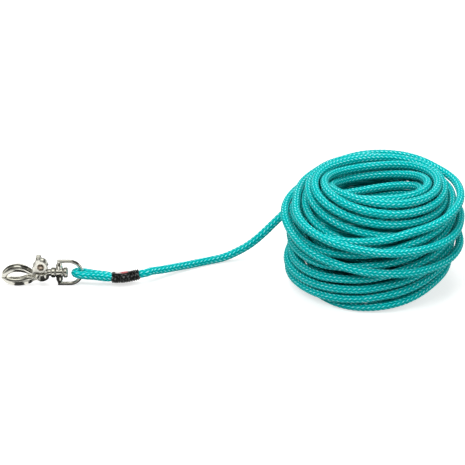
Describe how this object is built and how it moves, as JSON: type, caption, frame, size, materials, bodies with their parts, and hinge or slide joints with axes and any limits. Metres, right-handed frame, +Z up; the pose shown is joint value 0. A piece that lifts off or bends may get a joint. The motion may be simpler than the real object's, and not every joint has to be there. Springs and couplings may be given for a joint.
{
  "type": "lead rope",
  "caption": "Round braided lead rope, coiled, with a bound eye that holds a swivelling scissor snap hook with a sprung jaw.",
  "frame": {"origin": "on the floor, under the middle of the hook, bow, eye and binding; the lead and the coil don't count", "axes": "+X along the hook from its jaw to the rope, +Y away from the front, +Z up"},
  "size_m": [0.4541, 0.1823, 0.1115],
  "materials": {
    "nickel": "polished nickel plate",
    "rivet": "polished nickel plate",
    "spring": "drawn spring wire",
    "rope": "braided, slightly shiny yarn",
    "binding": "waxed black thread",
    "tab": "plain woven tape"
  },
  "bodies": {
    "rope": {"rope_eye": "rope", "binding_sleeve": "binding", "whipping_thread": "binding", "binding_tab": "tab", "rope_lead": "rope", "rope_core": "rope", "rope_coil": "rope"},
    "bow": {"bow": "nickel"},
    "hook": {"hook_body": "nickel", "swivel_pin": "rivet", "jaw_rivet": "rivet", "jaw_spring": "spring"},
    "jaw": {"jaw_lever": "nickel"}
  },
  "joints": [
    {"name": "bow_swing", "type": "hinge", "parent": "rope", "child": "bow", "pos_m": [0.0102, 0, 0.0125], "axis": [0, 0, 1], "range_deg": [-55, 55]},
    {"name": "hook_swivel", "type": "hinge", "parent": "bow", "child": "hook", "pos_m": [-0.0113, 0, 0.0137], "axis": [1, 0, 0], "continuous": true},
    {"name": "jaw_open", "type": "hinge", "parent": "hook", "child": "jaw", "pos_m": [-0.0292, 0, 0.0212], "axis": [0, 1, 0], "range_deg": [0, 26], "stiffness_Nm_per_rad": 0.03, "springref_deg": -34.38}
  ]
}
